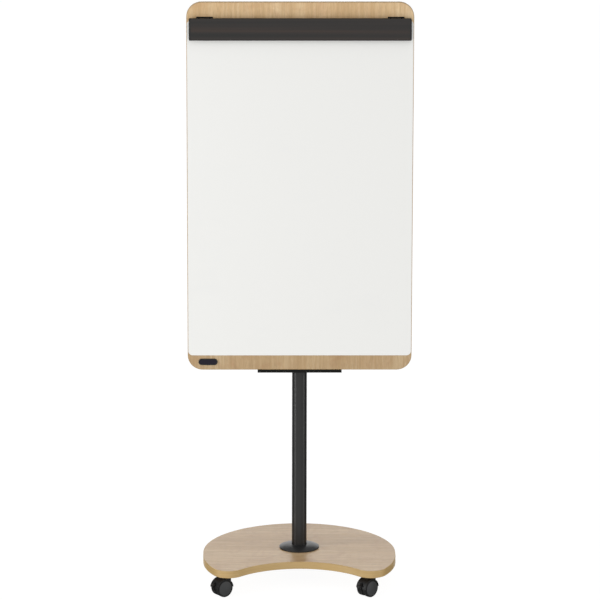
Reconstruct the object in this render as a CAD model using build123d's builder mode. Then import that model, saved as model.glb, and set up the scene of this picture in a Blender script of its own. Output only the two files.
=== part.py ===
from build123d import *

import os
from math import cos, radians, sin, sqrt

# Mobile flip chart easel: a board on a round post over a kidney-shaped base with four casters.
# Millimetres. The origin is on the floor on the post's axis, +Z is up, the writing side faces -Y.

# ---------------------------------------------------------------- driving dimensions

# base and foot
BASE_UNDERSIDE = 72.0
BASE_THICKNESS = 25.0
BASE_RADIUS = 325.0
BASE_CENTRE_Y = -70.0
BASE_SIDE_LENGTH = 40.0
NOTCH_RADIUS = 270.0
NOTCH_CENTRE_Y = -438.0
LOBE_RADIUS = 55.0
BASE_EDGE_BAND = 2.0
BASE_EDGE_ROUNDING = 1.8
COUNTER_PLATE = 150.0
COUNTER_PLATE_THICKNESS = 4.0
COUNTER_PLATE_CORNER = 12.0
FOOT_DISC_RADIUS = 56.0
FOOT_DISC_THICKNESS = 5.0
SPIGOT_HEIGHT = 54.0
SPIGOT_WALL = 5.0
FOOT_BOLT_CIRCLE = 42.0
FOOT_BOLT_ANGLE = 45.0
COVER_RADIUS = 67.5
COVER_HEIGHT = 13.0
COVER_RIM = 3.5
COVER_WALL = 1.4
COVER_SAG = 2.4
COVER_GAP = 0.3

# post
POST_RADIUS = 25.0
POST_WALL = 2.0
POST_CAP_HEIGHT = 4.0
POST_CAP_ROUNDING = 2.0
POST_PLUG_WALL = 2.0
POST_PLUG_DEPTH = 14.0
GRUB_RADIUS = 2.0
GRUB_RISE = 4.0
GRUB_ANGLES = (90.0, 210.0, 330.0)
GRUB_SOCKET_RADIUS = 1.1
GRUB_SOCKET_DEPTH = 1.5

# board
BOARD_WIDTH = 750.0
BOARD_HEIGHT = 1250.0
BOARD_THICKNESS = 16.0
BOARD_BOTTOM = 733.0
BOARD_CORNER = 50.0
BOARD_EDGE_BAND = 2.0
BOARD_EDGE_ROUNDING = 1.8
PANEL_HEIGHT = 1140.0
PANEL_RISE = 50.0
PANEL_THICKNESS = 1.0
PANEL_CORNER = 15.0

# bracket behind the board
BRACKET_WIDTH = 282.0
BRACKET_HEIGHT = 450.0
BRACKET_SHEET = 3.0
LIP_DROP = 10.0
POST_TOP_BELOW_BRACKET = 10.0
SADDLE_HEIGHT = 40.0
SADDLE_RISES = (60.0, 390.0)
SADDLE_FLANGE = 52.0
SADDLE_BOLT_X = 40.0
BOLT_RADIUS = 4.0
BOLT_CLEARANCE = 4.3
BOLT_HEAD_RADIUS = 9.0
BOLT_HEAD_HEIGHT = 4.0
BOLT_HEAD_CLEARANCE = 1.0
HEX_RADIUS = 7.5
HEX_HEAD_HEIGHT = 5.5
NUT_HEIGHT = 5.5
BOLT_PAST_NUT = 1.0
WASHER_RADIUS = 8.5
WASHER_THICKNESS = 1.5
WOOD_SCREW_RADIUS = 2.25
WOOD_SCREW_X = 125.0
WOOD_SCREW_RISES = (25.0, 160.0, 290.0, 420.0)
WOOD_SCREW_DEPTH = 13.0
WOOD_SCREW_HEAD_RADIUS = 5.0
WOOD_SCREW_HEAD_HEIGHT = 2.8
WOOD_SCREW_HEAD_CHAMFER = 1.2
WOOD_SCREW_SOCKET_RADIUS = 1.8
WOOD_SCREW_SOCKET_DEPTH = 1.6

# clamp
CLAMP_LENGTH = 733.0
CLAMP_WALL = 1.8
CLAMP_AXIS_BELOW_TOP = 58.5
CLAMP_AXIS_STANDOFF = 10.0
CLAMP_CAP = 6.0
CLAMP_CAP_CORNER = 6.0
CLAMP_CAP_CORNER_PAST = 1.0
CLAMP_TOP = 6.5
CLAMP_BOTTOM = -67.0
CLAMP_FRONT = -8.0
CLAMP_BULGE = -10.5
CLAMP_BACK = 4.0
CLAMP_CORNER = 2.5
CLAMP_NOTCH_WIDTH = 4.1
CLAMP_NOTCH_FRONT = -5.0
CLAMP_LUG_WEB = 7.0
CLAMP_LUG_WEB_SHIFT = -1.0
CLAMP_CAP_TURN = 30.0
STRIP_ROOT = -2.0
STRIP_GAP = 0.3
STRIP_THICKNESS = 2.4
STRIP_LIP = 3.0
STRIP_CHAMFER = 1.5
HINGE_X = 315.0
HINGE_WIDTH = 55.0
HINGE_SHEET = 2.0
HINGE_PLATE_ABOVE_AXIS = 10.0
HINGE_PLATE_BELOW_AXIS = 35.0
HINGE_PLATE_CORNER = 2.0
HINGE_SCREW_BELOW_AXIS = 27.5
HINGE_SCREW_X = 12.0
HINGE_PIN_RADIUS = 2.5
HINGE_PIN_LENGTH = 53.0
HINGE_EAR_RADIUS = 4.3
HINGE_EAR_X = 18.0
HINGE_EAR_THICKNESS = 2.5
LUG_X = 21.4
LUG_THICKNESS = 3.0
RUNNING_CLEARANCE = 0.05
SPRING_RADIUS = 3.2
SPRING_WIRE = 0.55
SPRING_TURNS = 6
SPRING_LENGTH = 12.0
SPRING_LEG = 14.0
SPRING_HOOK = 2.2

# pad hooks
RAIL_LENGTH = 540.0
RAIL_CENTRE_BELOW_TOP = 84.0
RAIL_HEIGHT = 24.0
RAIL_DEPTH = 6.0
RAIL_WALL = 2.0
RAIL_LIP = 1.2
RAIL_SLOT = 13.0
RAIL_SCREW_PITCH = 120.0
HOOK_X = 215.0
HOOK_WIDTH = 28.0
HOOK_PEG_RADIUS = 3.0
HOOK_PEG_TIP = 14.0
HOOK_PEG_ROUNDING = 1.0
HOOK_PLATE_HEIGHT = 20.0
HOOK_PLATE_THICKNESS = 2.0
HOOK_PLATE_CORNER = 4.0
HOOK_PLATE_GAP = 0.3
HOOK_BACK_GAP = 0.2
HOOK_SIDE_GAP = 0.3
HOOK_NECK_INSET = 2.0

# countersunk screws through the panel
PANEL_SCREW_HEAD = 3.4
PANEL_SCREW_RADIUS = 1.75
PANEL_SCREW_LENGTH = 12.0
PANEL_SCREW_POINT_GAP = 0.5
PANEL_SCREW_SOCKET_RADIUS = 1.3
PANEL_SCREW_SOCKET_DEPTH = 1.2

# badge
BADGE_LENGTH = 64.0
BADGE_HEIGHT = 22.0
BADGE_THICKNESS = 2.6
BADGE_RIM = 3.0
BADGE_RECESS = 1.2
BADGE_ROUNDING = 1.0
BADGE_INSERT_THICKNESS = 0.9
BADGE_INSERT_GAP = 0.2
BADGE_X = -307.0
BADGE_RISE = 27.5

# casters: stem place, and the direction in which each one trails, in degrees from +X
WHEEL_RADIUS = 30.0
TYRE_THICKNESS = 5.5
WHEEL_INNER = 5.0
WHEEL_OUTER = 21.0
WHEEL_DOME = 23.0
WHEEL_HUB_RADIUS = 9.0
WHEEL_WEB_INSET = 5.0
WHEEL_RIM_DEPTH = 3.0
WHEEL_RIM_INSET = 1.0
WHEEL_FACE_BEVEL = 1.0
TYRE_SHOULDER = 1.8
AXLE_RADIUS = 3.0
AXLE_HALF_LENGTH = 18.0
AXLE_CHAMFER = 0.5
AXLE_END_GAP = 0.5
CASTER_TRAIL = 22.0
HOOD_RADIUS = 32.2
HOOD_WALL = 1.6
HOOD_HALF_WIDTH = 21.5
HOOD_ABOVE_AXLE = 2.0
SPINE_HALF_WIDTH = 4.0
SPINE_BELOW_AXLE = 14.0
NECK_RADIUS = 12.5
NECK_ABOVE_AXLE = 10.0
NECK_GAP = 0.3
STEM_RADIUS = 5.5
THREAD_RADIUS = 5.0
STEM_BOTTOM = 47.0
COLLAR_RADIUS = 11.0
COLLAR_HEIGHT = 2.7
INSERT_RADIUS = 7.0
INSERT_LENGTH = 18.0
INSERT_FLANGE = 1.5
INSERT_HOLE_PAST = 1.0
THREAD_LENGTH = 16.0
BRAKE_PIVOT = (18.6, 13.0)
BRAKE_REACH = 44.0
BRAKE_PIVOT_RADIUS = 1.5
BRAKE_SLOT_HALF_WIDTH = 2.3
BRAKE_THICKNESS = 4.4
BRAKE_BOSS_RADIUS = 3.6
BRAKE_SIDE_GAP = 0.3
BRAKE_SLOT_START = 12.0
BRAKE_SLOT_RISE = 8.0
BRAKE_SLOT_HEIGHT = 26.0
PEDAL_HALF_WIDTH = 6.0
PEDAL_CORNER = 2.5
PEDAL_GAP = 0.6
PEDAL_SLOT_GAP = 1.0
PEDAL_SLOT_HEIGHT = 34.0
CASTERS = {
    "fl": (-242.5, -222.0, 215.0),
    "fr": (242.5, -222.0, 225.0),
    "rl": (-160.0, 165.0, 250.0),
    "rr": (160.0, 165.0, 205.0),
}
BRAKED_CASTERS = ("fl", "fr")

# ---------------------------------------------------------------- derived places

BASE_TOP = BASE_UNDERSIDE + BASE_THICKNESS
POST_BOTTOM = BASE_TOP + FOOT_DISC_THICKNESS
BRACKET_BACK = POST_RADIUS
BOARD_BACK = BRACKET_BACK + BRACKET_SHEET
BOARD_FRONT = BOARD_BACK + BOARD_THICKNESS
PANEL_FRONT = BOARD_FRONT + PANEL_THICKNESS
BOARD_MIDDLE = BOARD_BOTTOM + BOARD_HEIGHT / 2
PANEL_WIDTH = BOARD_WIDTH - 2 * BOARD_EDGE_BAND
PANEL_MIDDLE = BOARD_BOTTOM + PANEL_RISE + PANEL_HEIGHT / 2
BOARD_TOP = BOARD_BOTTOM + BOARD_HEIGHT
BRACKET_TOP = BOARD_BOTTOM + BRACKET_HEIGHT
POST_TOP = BRACKET_TOP - POST_TOP_BELOW_BRACKET
CLAMP_AXIS_HEIGHT = BOARD_TOP - CLAMP_AXIS_BELOW_TOP
RAIL_CENTRE_HEIGHT = BOARD_TOP - RAIL_CENTRE_BELOW_TOP
SADDLE_LEVELS = [BOARD_BOTTOM + rise for rise in SADDLE_RISES]
SADDLE_BOLTS = [(side * SADDLE_BOLT_X, z) for z in SADDLE_LEVELS for side in (-1, 1)]
WOOD_SCREWS = [
    (side * WOOD_SCREW_X, BOARD_BOTTOM + rise) for rise in WOOD_SCREW_RISES for side in (-1, 1)
]
BADGE_CENTRE = (BADGE_X, BOARD_BOTTOM + BADGE_RISE)
CLAMP_AXIS_Y = -(PANEL_FRONT + CLAMP_AXIS_STANDOFF)
WHEEL_CORE_RADIUS = WHEEL_RADIUS - TYRE_THICKNESS
SPIGOT_BORE = POST_RADIUS - POST_WALL - SPIGOT_WALL
RAIL_SCREWS = [(step * RAIL_SCREW_PITCH, RAIL_CENTRE_HEIGHT) for step in (-2, -1, 0, 1, 2)]
HINGE_SCREWS = [
    (side * HINGE_X + dx, CLAMP_AXIS_HEIGHT - HINGE_SCREW_BELOW_AXIS)
    for side in (-1, 1)
    for dx in (-HINGE_SCREW_X, HINGE_SCREW_X)
]
PANEL_SCREWS = RAIL_SCREWS + HINGE_SCREWS

os.makedirs("parts", exist_ok=True)


def save(piece, name):
    """Label one finished piece and write it to its own file."""
    piece.part.label = name
    export_step(piece.part, f"parts/{name}.step")


def facing_front(depth):
    """Plane parallel to the board, depth in front of the post's axis, its normal towards the front."""
    return Plane.XZ.offset(depth)


def grub_plane(angle):
    """Plane square to one grub screw, through the post's axis at the screws' height."""
    outwards = (cos(radians(angle)), sin(radians(angle)), 0)
    sideways = (-sin(radians(angle)), cos(radians(angle)), 0)
    return Plane(origin=(0, 0, POST_BOTTOM + GRUB_RISE), x_dir=sideways, z_dir=outwards)


def foot_bolt_locations():
    """The four bolts that hold the post's foot to the base."""
    return PolarLocations(FOOT_BOLT_CIRCLE, 4, start_angle=FOOT_BOLT_ANGLE)


# ---------------------------------------------------------------- base and foot

def base_outline(inset):
    """Kidney outline, inset all round: round at the back, straight at the sides, two lobes at the front.

    Each lobe's arc touches the front disc from inside and the bite from outside, so all arcs stay tangent.
    """
    half_width = BASE_RADIUS - inset
    back_y = BASE_CENTRE_Y + BASE_SIDE_LENGTH / 2
    disc = Vector(0, BASE_CENTRE_Y - BASE_SIDE_LENGTH / 2)
    bite = Vector(0, NOTCH_CENTRE_Y)
    spread = disc.Y - bite.Y
    from_disc = BASE_RADIUS - LOBE_RADIUS
    from_bite = NOTCH_RADIUS + LOBE_RADIUS
    forward = (spread**2 + from_disc**2 - from_bite**2) / (2 * spread)
    lobe = Vector(sqrt(from_disc**2 - forward**2), disc.Y - forward)
    lobe_radius = LOBE_RADIUS - inset
    outwards = (lobe - disc).normalized()
    inwards = (bite - lobe).normalized()
    side_middle = disc + (Vector(1, 0) + outwards).normalized() * half_width
    side_end = lobe + outwards * lobe_radius
    tip = lobe + (outwards + inwards).normalized() * lobe_radius
    bite_end = lobe + inwards * lobe_radius
    with BuildSketch() as outline:
        with BuildLine():
            ThreePointArc((-half_width, back_y), (0, back_y + half_width), (half_width, back_y))
            for side in (-1, 1):
                Line((side * half_width, back_y), (side * half_width, disc.Y))
                ThreePointArc(
                    (side * half_width, disc.Y),
                    (side * side_middle.X, side_middle.Y),
                    (side * side_end.X, side_end.Y),
                )
                ThreePointArc(
                    (side * side_end.X, side_end.Y),
                    (side * tip.X, tip.Y),
                    (side * bite_end.X, bite_end.Y),
                )
            ThreePointArc(
                (-bite_end.X, bite_end.Y), (0, bite.Y + NOTCH_RADIUS + inset), (bite_end.X, bite_end.Y)
            )
        make_face()
    return outline.sketch


def caster_locations():
    """The four places where a caster's stem goes into the base."""
    return Locations(*[(x, y) for x, y, _ in CASTERS.values()])


with BuildPart() as base_board:
    with BuildSketch(Plane.XY.offset(BASE_UNDERSIDE)):
        add(base_outline(BASE_EDGE_BAND))
    extrude(amount=BASE_THICKNESS)
    with BuildSketch(Plane.XY.offset(BASE_UNDERSIDE)):
        with foot_bolt_locations():
            Circle(BOLT_CLEARANCE)
    extrude(amount=BASE_THICKNESS, mode=Mode.SUBTRACT)
    with BuildSketch(Plane.XY.offset(BASE_UNDERSIDE)):
        with caster_locations():
            Circle(INSERT_RADIUS)
    extrude(amount=INSERT_LENGTH + INSERT_HOLE_PAST, mode=Mode.SUBTRACT)
    with BuildSketch(Plane.XY.offset(BASE_UNDERSIDE)):
        with caster_locations():
            Circle(COLLAR_RADIUS)
    extrude(amount=INSERT_FLANGE, mode=Mode.SUBTRACT)
save(base_board, "base_board")

with BuildPart() as base_edge_band:
    with BuildSketch(Plane.XY.offset(BASE_UNDERSIDE)):
        add(base_outline(0))
    extrude(amount=BASE_THICKNESS)
    fillet(base_edge_band.edges().filter_by(GeomType.CIRCLE), BASE_EDGE_ROUNDING)
    with BuildSketch(Plane.XY.offset(BASE_UNDERSIDE)):
        add(base_outline(BASE_EDGE_BAND))
    extrude(amount=BASE_THICKNESS, mode=Mode.SUBTRACT)
save(base_edge_band, "base_edge_band")

with BuildPart() as foot_counter_plate:
    with BuildSketch(Plane.XY.offset(BASE_UNDERSIDE)):
        RectangleRounded(COUNTER_PLATE, COUNTER_PLATE, COUNTER_PLATE_CORNER)
        with foot_bolt_locations():
            Circle(BOLT_CLEARANCE, mode=Mode.SUBTRACT)
    extrude(amount=-COUNTER_PLATE_THICKNESS)
save(foot_counter_plate, "foot_counter_plate")

with BuildPart() as foot_bolts:
    with BuildSketch(Plane.XY.offset(BASE_UNDERSIDE - COUNTER_PLATE_THICKNESS)):
        with foot_bolt_locations():
            RegularPolygon(HEX_RADIUS, 6)
    extrude(amount=-HEX_HEAD_HEIGHT)
    with BuildSketch(Plane.XY.offset(BASE_UNDERSIDE - COUNTER_PLATE_THICKNESS)):
        with foot_bolt_locations():
            Circle(BOLT_RADIUS)
    extrude(amount=COUNTER_PLATE_THICKNESS + BASE_THICKNESS + FOOT_DISC_THICKNESS)
save(foot_bolts, "foot_bolts")

with BuildPart() as post_foot:
    with BuildSketch(Plane.XY.offset(BASE_TOP)):
        Circle(FOOT_DISC_RADIUS)
        with foot_bolt_locations():
            Circle(BOLT_RADIUS, mode=Mode.SUBTRACT)
    extrude(amount=FOOT_DISC_THICKNESS)
    with BuildSketch(Plane.XY.offset(POST_BOTTOM)):
        Circle(POST_RADIUS - POST_WALL)
        Circle(SPIGOT_BORE, mode=Mode.SUBTRACT)
    extrude(amount=SPIGOT_HEIGHT)
    for angle in GRUB_ANGLES:
        with BuildSketch(grub_plane(angle)):
            Circle(GRUB_RADIUS)
        extrude(amount=POST_RADIUS, mode=Mode.SUBTRACT)
save(post_foot, "post_foot")

with BuildPart() as foot_grub_screws:
    for angle in GRUB_ANGLES:
        with BuildSketch(grub_plane(angle).offset(SPIGOT_BORE)):
            Circle(GRUB_RADIUS)
        extrude(amount=POST_WALL + SPIGOT_WALL)
        with BuildSketch(grub_plane(angle).offset(POST_RADIUS)):
            RegularPolygon(GRUB_SOCKET_RADIUS, 6)
        extrude(amount=-GRUB_SOCKET_DEPTH, mode=Mode.SUBTRACT)
save(foot_grub_screws, "foot_grub_screws")

with BuildPart() as foot_cover:
    hole = POST_RADIUS + COVER_GAP
    dome_middle = (COVER_RADIUS + hole) / 2
    dome_top = BASE_TOP + COVER_HEIGHT
    with BuildSketch(Plane.XZ):
        with BuildLine():
            outer_rim = Line((COVER_RADIUS, BASE_TOP), (COVER_RADIUS, BASE_TOP + COVER_RIM))
            outer_dome = ThreePointArc(
                outer_rim @ 1,
                (dome_middle, dome_top - COVER_SAG),
                (hole, dome_top),
            )
            neck = Line(outer_dome @ 1, (hole, dome_top - COVER_WALL))
            inner_dome = ThreePointArc(
                neck @ 1,
                (dome_middle, dome_top - COVER_SAG - COVER_WALL),
                (COVER_RADIUS - COVER_WALL, BASE_TOP + COVER_RIM),
            )
            inner_rim = Line(inner_dome @ 1, (COVER_RADIUS - COVER_WALL, BASE_TOP))
            Line(inner_rim @ 1, outer_rim @ 0)
        make_face()
    revolve(axis=Axis.Z)
save(foot_cover, "foot_cover")

# ---------------------------------------------------------------- post

with BuildPart() as post_tube:
    with BuildSketch(Plane.XY.offset(POST_BOTTOM)):
        Circle(POST_RADIUS)
        Circle(POST_RADIUS - POST_WALL, mode=Mode.SUBTRACT)
    extrude(amount=POST_TOP - POST_BOTTOM)
    for angle in GRUB_ANGLES:
        with BuildSketch(grub_plane(angle)):
            Circle(GRUB_RADIUS)
        extrude(amount=2 * POST_RADIUS, mode=Mode.SUBTRACT)
save(post_tube, "post_tube")

with BuildPart() as post_cap:
    with BuildSketch(Plane.XY.offset(POST_TOP)):
        Circle(POST_RADIUS)
    extrude(amount=POST_CAP_HEIGHT)
    fillet(post_cap.edges().sort_by(Axis.Z)[-1], POST_CAP_ROUNDING)
    with BuildSketch(Plane.XY.offset(POST_TOP)):
        Circle(POST_RADIUS - POST_WALL)
        Circle(POST_RADIUS - POST_WALL - POST_PLUG_WALL, mode=Mode.SUBTRACT)
    extrude(amount=-POST_PLUG_DEPTH)
save(post_cap, "post_cap")

# ---------------------------------------------------------------- board bracket

with BuildPart() as board_bracket:
    with BuildSketch(Plane.YZ.offset(-BRACKET_WIDTH / 2)):
        with BuildLine():
            Polyline(
                (-BRACKET_BACK, BRACKET_TOP),
                (-BRACKET_BACK, BOARD_BOTTOM - BRACKET_SHEET),
                (-(PANEL_FRONT - BRACKET_SHEET), BOARD_BOTTOM - BRACKET_SHEET),
                (-(PANEL_FRONT - BRACKET_SHEET), BOARD_BOTTOM - LIP_DROP),
                (-PANEL_FRONT, BOARD_BOTTOM - LIP_DROP),
                (-PANEL_FRONT, BOARD_BOTTOM),
                (-BOARD_BACK, BOARD_BOTTOM),
                (-BOARD_BACK, BRACKET_TOP),
                close=True,
            )
        make_face()
    extrude(amount=BRACKET_WIDTH)
    with BuildSketch(facing_front(BRACKET_BACK)):
        with Locations(*SADDLE_BOLTS):
            Circle(BOLT_CLEARANCE)
        with Locations(*WOOD_SCREWS):
            Circle(WOOD_SCREW_RADIUS)
    extrude(amount=BRACKET_SHEET, mode=Mode.SUBTRACT)
save(board_bracket, "board_bracket")


def make_saddle(level, name):
    """U strap round the back of the post, with a flange on each side bolted to the bracket."""
    strap_radius = POST_RADIUS + BRACKET_SHEET
    with BuildPart() as saddle:
        with BuildSketch(Plane.XY.offset(level - SADDLE_HEIGHT / 2)):
            Circle(strap_radius)
            with Locations((0, -POST_RADIUS / 2)):
                Rectangle(2 * strap_radius, POST_RADIUS)
            with Locations((0, -POST_RADIUS + BRACKET_SHEET / 2)):
                Rectangle(2 * SADDLE_FLANGE, BRACKET_SHEET)
            Circle(POST_RADIUS, mode=Mode.SUBTRACT)
            with Locations((0, -POST_RADIUS)):
                Rectangle(2 * POST_RADIUS, 2 * POST_RADIUS, mode=Mode.SUBTRACT)
            with Locations((0, -POST_RADIUS - strap_radius)):
                Rectangle(2 * SADDLE_FLANGE, 2 * strap_radius, mode=Mode.SUBTRACT)
        extrude(amount=SADDLE_HEIGHT)
        with BuildSketch(facing_front(BRACKET_BACK)):
            with Locations((-SADDLE_BOLT_X, level), (SADDLE_BOLT_X, level)):
                Circle(BOLT_CLEARANCE)
        extrude(amount=-2 * BRACKET_SHEET, mode=Mode.SUBTRACT)
    save(saddle, name)


make_saddle(SADDLE_LEVELS[0], "saddle_lower")
make_saddle(SADDLE_LEVELS[1], "saddle_upper")

with BuildPart() as saddle_bolts:
    bolt_length = 2 * BRACKET_SHEET + WASHER_THICKNESS + NUT_HEIGHT + BOLT_PAST_NUT
    with BuildSketch(facing_front(BOARD_BACK)):
        with Locations(*SADDLE_BOLTS):
            Circle(BOLT_HEAD_RADIUS)
    extrude(amount=BOLT_HEAD_HEIGHT)
    with BuildSketch(facing_front(BOARD_BACK)):
        with Locations(*SADDLE_BOLTS):
            Circle(BOLT_RADIUS)
    extrude(amount=-bolt_length)
save(saddle_bolts, "saddle_bolts")

with BuildPart() as saddle_nuts:
    with BuildSketch(facing_front(BRACKET_BACK - BRACKET_SHEET)):
        with Locations(*SADDLE_BOLTS):
            Circle(WASHER_RADIUS)
            Circle(BOLT_RADIUS, mode=Mode.SUBTRACT)
    extrude(amount=-WASHER_THICKNESS)
    with BuildSketch(facing_front(BRACKET_BACK - BRACKET_SHEET)):
        with Locations(*SADDLE_BOLTS):
            RegularPolygon(HEX_RADIUS, 6)
            Circle(BOLT_RADIUS, mode=Mode.SUBTRACT)
    extrude(amount=-WASHER_THICKNESS - NUT_HEIGHT)
save(saddle_nuts, "saddle_nuts")

with BuildPart() as bracket_screws:
    with BuildSketch(facing_front(BRACKET_BACK)):
        with Locations(*WOOD_SCREWS):
            Circle(WOOD_SCREW_HEAD_RADIUS)
    extrude(amount=-WOOD_SCREW_HEAD_HEIGHT)
    chamfer(bracket_screws.edges().group_by(Axis.Y)[-1], WOOD_SCREW_HEAD_CHAMFER)
    with BuildSketch(facing_front(BRACKET_BACK - WOOD_SCREW_HEAD_HEIGHT)):
        with Locations(*WOOD_SCREWS):
            RegularPolygon(WOOD_SCREW_SOCKET_RADIUS, 6)
    extrude(amount=WOOD_SCREW_SOCKET_DEPTH, mode=Mode.SUBTRACT)
    with BuildSketch(facing_front(BRACKET_BACK)):
        with Locations(*WOOD_SCREWS):
            Circle(WOOD_SCREW_RADIUS)
    extrude(amount=BRACKET_SHEET + WOOD_SCREW_DEPTH)
save(bracket_screws, "bracket_screws")

# ---------------------------------------------------------------- board

with BuildPart() as back_board:
    with BuildSketch(facing_front(BOARD_BACK)):
        with Locations((0, BOARD_MIDDLE)):
            RectangleRounded(
                BOARD_WIDTH - 2 * BOARD_EDGE_BAND,
                BOARD_HEIGHT - 2 * BOARD_EDGE_BAND,
                BOARD_CORNER - BOARD_EDGE_BAND,
            )
    extrude(amount=BOARD_THICKNESS)
    with BuildSketch(facing_front(BOARD_BACK)):
        with Locations(*WOOD_SCREWS):
            Circle(WOOD_SCREW_RADIUS)
    extrude(amount=WOOD_SCREW_DEPTH, mode=Mode.SUBTRACT)
    with BuildSketch(facing_front(BOARD_BACK)):
        with Locations(*SADDLE_BOLTS):
            Circle(BOLT_HEAD_RADIUS + BOLT_HEAD_CLEARANCE)
    extrude(amount=BOLT_HEAD_HEIGHT + BOLT_HEAD_CLEARANCE, mode=Mode.SUBTRACT)
    with BuildSketch(facing_front(BOARD_FRONT)):
        with Locations(*PANEL_SCREWS):
            Circle(PANEL_SCREW_RADIUS)
    extrude(amount=-PANEL_SCREW_LENGTH, mode=Mode.SUBTRACT)
save(back_board, "back_board")

with BuildPart() as board_edge_band:
    with BuildSketch(facing_front(BOARD_BACK)):
        with Locations((0, BOARD_MIDDLE)):
            RectangleRounded(BOARD_WIDTH, BOARD_HEIGHT, BOARD_CORNER)
    extrude(amount=BOARD_THICKNESS)
    outer_faces = board_edge_band.faces().filter_by(Axis.Y)
    fillet(outer_faces.edges(), BOARD_EDGE_ROUNDING)
    with BuildSketch(facing_front(BOARD_BACK)):
        with Locations((0, BOARD_MIDDLE)):
            RectangleRounded(
                BOARD_WIDTH - 2 * BOARD_EDGE_BAND,
                BOARD_HEIGHT - 2 * BOARD_EDGE_BAND,
                BOARD_CORNER - BOARD_EDGE_BAND,
            )
    extrude(amount=BOARD_THICKNESS, mode=Mode.SUBTRACT)
save(board_edge_band, "board_edge_band")

with BuildPart() as writing_panel:
    with BuildSketch(facing_front(BOARD_FRONT)):
        with Locations((0, PANEL_MIDDLE)):
            RectangleRounded(PANEL_WIDTH, PANEL_HEIGHT, PANEL_CORNER)
        with Locations(*PANEL_SCREWS):
            Circle(PANEL_SCREW_RADIUS, mode=Mode.SUBTRACT)
    extrude(amount=PANEL_THICKNESS)
save(writing_panel, "writing_panel")

with BuildPart() as badge_plate:
    with BuildSketch(facing_front(BOARD_FRONT)):
        with Locations(BADGE_CENTRE):
            SlotOverall(BADGE_LENGTH, BADGE_HEIGHT)
    extrude(amount=BADGE_THICKNESS)
    fillet(badge_plate.faces().sort_by(Axis.Y)[0].edges(), BADGE_ROUNDING)
    with BuildSketch(facing_front(BOARD_FRONT + BADGE_THICKNESS)):
        with Locations(BADGE_CENTRE):
            SlotOverall(BADGE_LENGTH - 2 * BADGE_RIM, BADGE_HEIGHT - 2 * BADGE_RIM)
    extrude(amount=-BADGE_RECESS, mode=Mode.SUBTRACT)
save(badge_plate, "badge_plate")

with BuildPart() as badge_insert:
    with BuildSketch(facing_front(BOARD_FRONT + BADGE_THICKNESS - BADGE_RECESS)):
        with Locations(BADGE_CENTRE):
            SlotOverall(
                BADGE_LENGTH - 2 * (BADGE_RIM + BADGE_INSERT_GAP),
                BADGE_HEIGHT - 2 * (BADGE_RIM + BADGE_INSERT_GAP),
            )
    extrude(amount=BADGE_INSERT_THICKNESS)
save(badge_insert, "badge_insert")

# ---------------------------------------------------------------- rail and pad hooks

with BuildPart() as hook_rail:
    with BuildSketch(Plane.YZ.offset(-RAIL_LENGTH / 2)):
        with Locations((-PANEL_FRONT - RAIL_DEPTH / 2, RAIL_CENTRE_HEIGHT)):
            Rectangle(RAIL_DEPTH, RAIL_HEIGHT)
        with Locations((-PANEL_FRONT - (RAIL_WALL + RAIL_DEPTH - RAIL_LIP) / 2, RAIL_CENTRE_HEIGHT)):
            Rectangle(
                RAIL_DEPTH - RAIL_LIP - RAIL_WALL,
                RAIL_HEIGHT - 2 * RAIL_WALL,
                mode=Mode.SUBTRACT,
            )
        with Locations((-PANEL_FRONT - RAIL_DEPTH + RAIL_LIP / 2, RAIL_CENTRE_HEIGHT)):
            Rectangle(RAIL_LIP, RAIL_SLOT, mode=Mode.SUBTRACT)
    extrude(amount=RAIL_LENGTH)
    with Locations(facing_front(PANEL_FRONT + RAIL_WALL)):
        with Locations(*RAIL_SCREWS):
            CounterSinkHole(PANEL_SCREW_RADIUS, PANEL_SCREW_HEAD, depth=2 * RAIL_WALL)
save(hook_rail, "hook_rail")


def make_pad_hook(side, name):
    """Slider that runs in the rail's slot and carries the round peg for the pad's hole."""
    x = side * HOOK_X
    slider_back = PANEL_FRONT + RAIL_WALL + HOOK_BACK_GAP
    slider_front = PANEL_FRONT + RAIL_DEPTH - RAIL_LIP - HOOK_SIDE_GAP
    plate_back = PANEL_FRONT + RAIL_DEPTH + HOOK_PLATE_GAP
    with BuildPart() as pad_hook:
        with BuildSketch(facing_front(slider_back)):
            with Locations((x, RAIL_CENTRE_HEIGHT)):
                Rectangle(HOOK_WIDTH, RAIL_HEIGHT - 2 * (RAIL_WALL + HOOK_SIDE_GAP))
        extrude(amount=slider_front - slider_back)
        with BuildSketch(facing_front(slider_back)):
            with Locations((x, RAIL_CENTRE_HEIGHT)):
                Rectangle(HOOK_WIDTH - 2 * HOOK_NECK_INSET, RAIL_SLOT - 2 * HOOK_SIDE_GAP)
        extrude(amount=plate_back - slider_back)
        with BuildSketch(facing_front(plate_back)):
            with Locations((x, RAIL_CENTRE_HEIGHT)):
                RectangleRounded(HOOK_WIDTH, HOOK_PLATE_HEIGHT, HOOK_PLATE_CORNER)
        extrude(amount=HOOK_PLATE_THICKNESS)
        with BuildSketch(facing_front(PANEL_FRONT + RAIL_DEPTH)):
            with Locations((x, RAIL_CENTRE_HEIGHT)):
                Circle(HOOK_PEG_RADIUS)
        extrude(amount=HOOK_PEG_TIP - RAIL_DEPTH)
        fillet(pad_hook.edges().filter_by(GeomType.CIRCLE).sort_by(Axis.Y)[0], HOOK_PEG_ROUNDING)
    save(pad_hook, name)


make_pad_hook(-1, "pad_hook_left")
make_pad_hook(1, "pad_hook_right")

# ---------------------------------------------------------------- clamp hinge

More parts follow.
